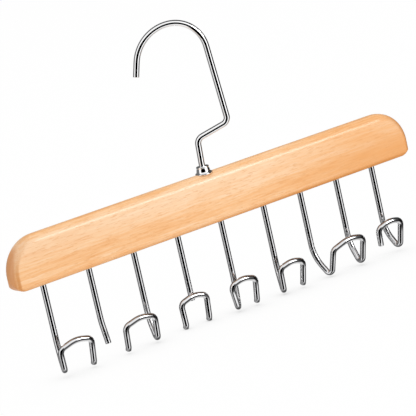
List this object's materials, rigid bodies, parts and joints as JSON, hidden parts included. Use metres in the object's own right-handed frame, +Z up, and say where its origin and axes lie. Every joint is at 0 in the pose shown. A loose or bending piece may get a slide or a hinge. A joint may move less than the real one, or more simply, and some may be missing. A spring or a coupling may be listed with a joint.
{
  "type": "tie hanger",
  "caption": "Tie hanger with a wooden bar on a freely turning chrome wire hook, and bent chrome wires below the bar for ties and belts",
  "frame": {"origin": "where the swivel axis meets the underside of the hook's crown, the place that rests on the rail", "axes": "+X runs along the bar towards the closer set of wires, +Y points to the back, +Z points up along the swivel axis; the front with the bent wires faces -Y"},
  "size_m": [0.3673, 0.0321, 0.2275],
  "materials": {
    "wood": "satin clear lacquer",
    "hook_chrome": "polished",
    "wire_chrome": "polished",
    "bush_steel": "plain"
  },
  "bodies": {
    "hook": {"swivel_hook": "hook_chrome", "retaining_washer": "hook_chrome"},
    "bar": {"wood_bar": "wood", "swivel_bush": "bush_steel", "hook_collar": "hook_chrome", "tie_hook_1": "wire_chrome", "plain_pin_2": "wire_chrome", "tie_hook_3": "wire_chrome", "weld_pin_4": "wire_chrome", "welded_bow_4": "wire_chrome", "tie_hook_5": "wire_chrome", "tie_hook_6": "wire_chrome", "double_hook_7": "wire_chrome", "tie_hook_9": "wire_chrome"}
  },
  "joints": [
    {"name": "hook_swivel", "type": "hinge", "parent": "hook", "child": "bar", "pos_m": [0, 0, -0.11425], "axis": [0, 0, 1], "continuous": true}
  ]
}
